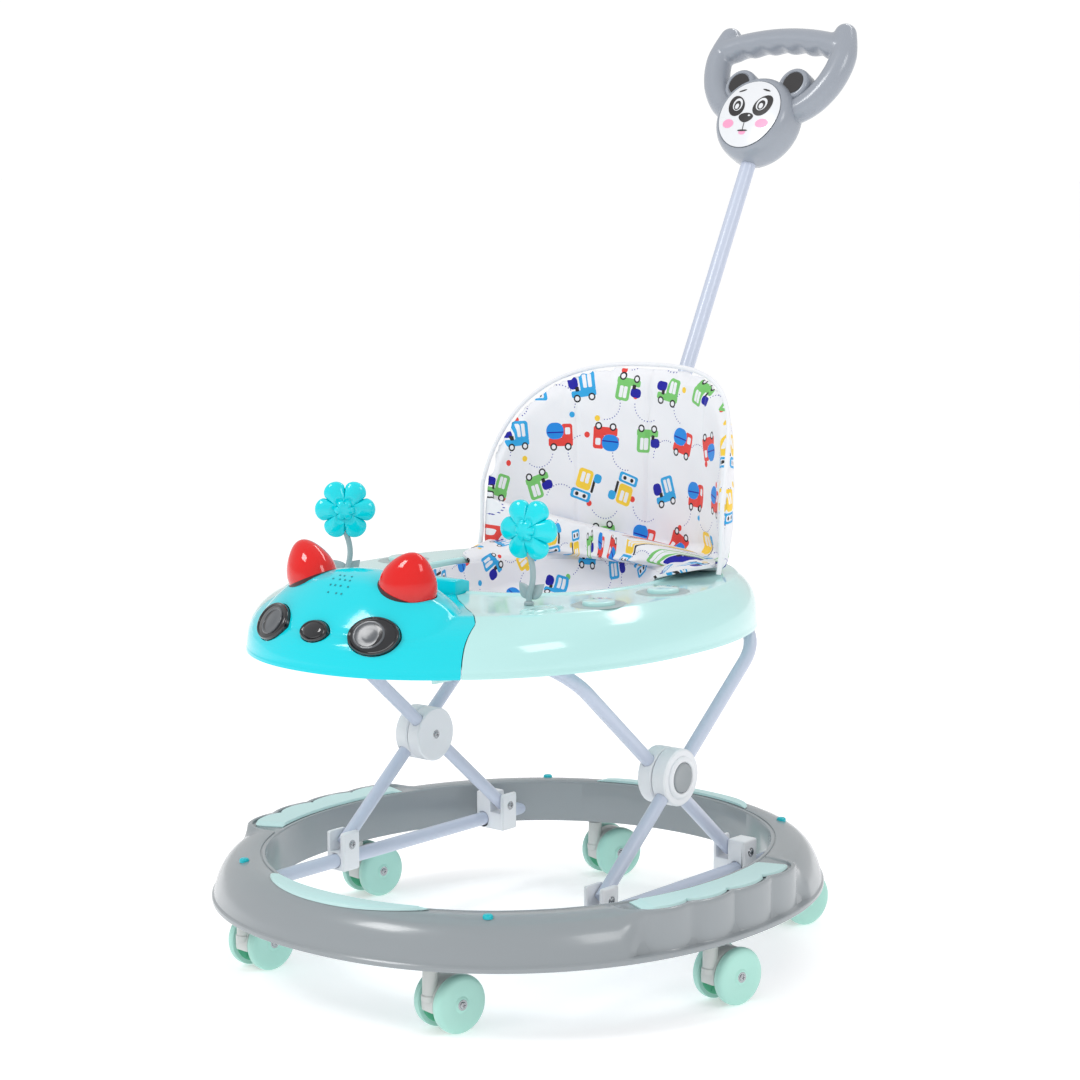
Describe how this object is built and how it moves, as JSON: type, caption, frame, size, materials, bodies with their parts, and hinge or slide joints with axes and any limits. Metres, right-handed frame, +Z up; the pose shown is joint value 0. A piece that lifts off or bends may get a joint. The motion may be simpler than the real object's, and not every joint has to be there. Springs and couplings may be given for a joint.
{
  "type": "baby walker",
  "caption": "Round-base baby walker with swivel casters, a folding scissor frame, a toy tray, a cloth sling seat and a removable push handle.",
  "frame": {"origin": "on the floor, under the middle of the bounding box", "axes": "+Z up; -Y is the front, where the animal head is; +X is the left-hand side seen from the front"},
  "size_m": [0.596, 0.8054, 0.9587],
  "materials": {
    "grey_plastic": "satin gloss",
    "mint_satin": "satin",
    "teal_plug": "gloss",
    "mint_wheel": "satin",
    "hood_grey": "satin",
    "tube_paint": "powder coat",
    "white_plastic": "satin",
    "mint_gloss": "high gloss",
    "cyan_gloss": "high gloss",
    "red_clear": "clear gloss",
    "black_gloss": "gloss",
    "stem_grey": "satin",
    "print_fabric": "woven, printed"
  },
  "bodies": {
    "base": {"base_ring": "grey_plastic", "front_pad": "mint_satin", "rear_pad": "mint_satin", "left_pad": "mint_satin", "right_pad": "mint_satin", "plug_front_left": "teal_plug", "plug_front_right": "teal_plug", "plug_rear_left": "teal_plug", "plug_rear_right": "teal_plug", "base_tube_left": "tube_paint", "base_tube_right": "tube_paint", "rear_bracket_left": "white_plastic", "rear_bracket_right": "white_plastic"},
    "inner_frame": {"inner_leg_frame": "tube_paint", "hub_inner_left": "white_plastic", "hub_inner_right": "white_plastic"},
    "outer_frame": {"outer_leg_frame": "tube_paint", "hub_outer_left": "white_plastic", "hub_outer_right": "white_plastic", "hub_cap_left": "grey_plastic", "hub_cap_right": "grey_plastic"},
    "slider_left": {"front_slider_left": "white_plastic"},
    "slider_right": {"front_slider_right": "white_plastic"},
    "tray": {"tray_top": "mint_gloss", "tray_pan": "mint_satin", "head_cover": "cyan_gloss", "ear_left": "red_clear", "ear_right": "red_clear", "toy_panel": "cyan_gloss", "tray_disc_front_left": "mint_gloss", "tray_disc_front_right": "mint_gloss", "tray_disc_rear_left": "mint_gloss", "tray_disc_rear_right": "mint_gloss", "seat_back": "print_fabric", "seat_sling": "print_fabric", "rod_socket": "mint_gloss"},
    "eye_left": {"eye_button_left": "black_gloss"},
    "eye_right": {"eye_button_right": "black_gloss"},
    "nose": {"nose_button": "black_gloss"},
    "flower_left": {"flower_stem_left": "stem_grey", "flower_head_left": "cyan_gloss"},
    "flower_right": {"flower_stem_right": "stem_grey", "flower_head_right": "cyan_gloss"},
    "push_handle": {"push_rod": "tube_paint", "panda_head": "grey_plastic", "handle_grip": "grey_plastic"},
    "swivel_front_left": {"caster_front_left": "hood_grey"},
    "wheel_front_left": {"wheels_front_left": "mint_wheel"},
    "swivel_front_right": {"caster_front_right": "hood_grey"},
    "wheel_front_right": {"wheels_front_right": "mint_wheel"},
    "swivel_right": {"caster_right": "hood_grey"},
    "wheel_right": {"wheels_right": "mint_wheel"},
    "swivel_rear_right": {"caster_rear_right": "hood_grey"},
    "wheel_rear_right": {"wheels_rear_right": "mint_wheel"},
    "swivel_rear_left": {"caster_rear_left": "hood_grey"},
    "wheel_rear_left": {"wheels_rear_left": "mint_wheel"},
    "swivel_left": {"caster_left": "hood_grey"},
    "wheel_left": {"wheels_left": "mint_wheel"}
  },
  "joints": [
    {"name": "swivel_front_left", "type": "hinge", "parent": "base", "child": "swivel_front_left", "pos_m": [-0.16212, -0.32173, 0], "axis": [0, 0, 1], "continuous": true},
    {"name": "wheel_front_left", "type": "hinge", "parent": "swivel_front_left", "child": "wheel_front_left", "pos_m": [-0.15982, -0.29985, 0.0285], "axis": [0.9945, -0.1045, 0], "continuous": true},
    {"name": "swivel_front_right", "type": "hinge", "parent": "base", "child": "swivel_front_right", "pos_m": [0.11444, -0.3511, 0], "axis": [0, 0, 1], "continuous": true},
    {"name": "wheel_front_right", "type": "hinge", "parent": "swivel_front_right", "child": "wheel_front_right", "pos_m": [0.11939, -0.32966, 0.0285], "axis": [0.9744, -0.225, 0], "continuous": true},
    {"name": "swivel_right", "type": "hinge", "parent": "base", "child": "swivel_right", "pos_m": [0.26665, -0.11555, 0], "axis": [0, 0, 1], "continuous": true},
    {"name": "wheel_right", "type": "hinge", "parent": "swivel_right", "child": "wheel_right", "pos_m": [0.27122, -0.09403, 0.0285], "axis": [0.9781, -0.2079, 0], "continuous": true},
    {"name": "swivel_rear_right", "type": "hinge", "parent": "base", "child": "swivel_rear_right", "pos_m": [0.16212, 0.16013, 0], "axis": [0, 0, 1], "continuous": true},
    {"name": "wheel_rear_right", "type": "hinge", "parent": "swivel_rear_right", "child": "wheel_rear_right", "pos_m": [0.16782, 0.18138, 0.0285], "axis": [0.9659, -0.2588, 0], "continuous": true},
    {"name": "swivel_rear_left", "type": "hinge", "parent": "base", "child": "swivel_rear_left", "pos_m": [-0.11444, 0.1895, 0], "axis": [0, 0, 1], "continuous": true},
    {"name": "wheel_rear_left", "type": "hinge", "parent": "swivel_rear_left", "child": "wheel_rear_left", "pos_m": [-0.10691, 0.21017, 0.0285], "axis": [0.9397, -0.342, 0], "continuous": true},
    {"name": "swivel_left", "type": "hinge", "parent": "base", "child": "swivel_left", "pos_m": [-0.26665, -0.04605, 0], "axis": [0, 0, 1], "continuous": true},
    {"name": "wheel_left", "type": "hinge", "parent": "swivel_left", "child": "wheel_left", "pos_m": [-0.26321, -0.02432, 0.0285], "axis": [0.9877, -0.1564, 0], "continuous": true},
    {"name": "fold", "type": "hinge", "parent": "base", "child": "inner_frame", "pos_m": [0, 0.0722, 0.1], "axis": [1, 0, 0], "range_deg": [0, 31.5]},
    {"name": "scissor_hub", "type": "hinge", "parent": "inner_frame", "child": "outer_frame", "pos_m": [0, -0.04698, 0.2], "axis": [1, 0, 0], "range_deg": [-63, 0]},
    {"name": "tray_hinge", "type": "hinge", "parent": "outer_frame", "child": "tray", "pos_m": [0, 0.11391, 0.335], "axis": [1, 0, 0], "range_deg": [0, 31.5]},
    {"name": "slider_left", "type": "hinge", "parent": "outer_frame", "child": "slider_left", "pos_m": [-0.172, -0.16615, 0.1], "axis": [1, 0, 0], "range_deg": [0, 31.5]},
    {"name": "slider_right", "type": "hinge", "parent": "outer_frame", "child": "slider_right", "pos_m": [0.172, -0.16615, 0.1], "axis": [1, 0, 0], "range_deg": [0, 31.5]},
    {"name": "push_handle", "type": "slide", "parent": "tray", "child": "push_handle", "axis": [0, 0, 1], "range_m": [0, 0.07]},
    {"name": "flower_left", "type": "hinge", "parent": "tray", "child": "flower_left", "pos_m": [-0.12, -0.2128, 0.3899], "axis": [0, 0, 1], "continuous": true},
    {"name": "flower_right", "type": "hinge", "parent": "tray", "child": "flower_right", "pos_m": [0.12, -0.2128, 0.3899], "axis": [0, 0, 1], "continuous": true},
    {"name": "press_eye_left", "type": "slide", "parent": "tray", "child": "eye_left", "axis": [0.292, 0.8233, -0.4867], "range_m": [0, 0.003], "stiffness_N_per_m": 300, "springref_m": -0.002},
    {"name": "press_eye_right", "type": "slide", "parent": "tray", "child": "eye_right", "axis": [-0.292, 0.8233, -0.4867], "range_m": [0, 0.003], "stiffness_N_per_m": 300, "springref_m": -0.002},
    {"name": "press_nose", "type": "slide", "parent": "tray", "child": "nose", "axis": [0, 0.8497, -0.5272], "range_m": [0, 0.003], "stiffness_N_per_m": 300, "springref_m": -0.002}
  ],
  "couplings": [
    {"joint": "scissor_hub", "follows": "fold", "ratio": -2},
    {"joint": "tray_hinge", "follows": "fold", "ratio": 1},
    {"joint": "slider_left", "follows": "fold", "ratio": 1},
    {"joint": "slider_right", "follows": "fold", "ratio": 1}
  ]
}
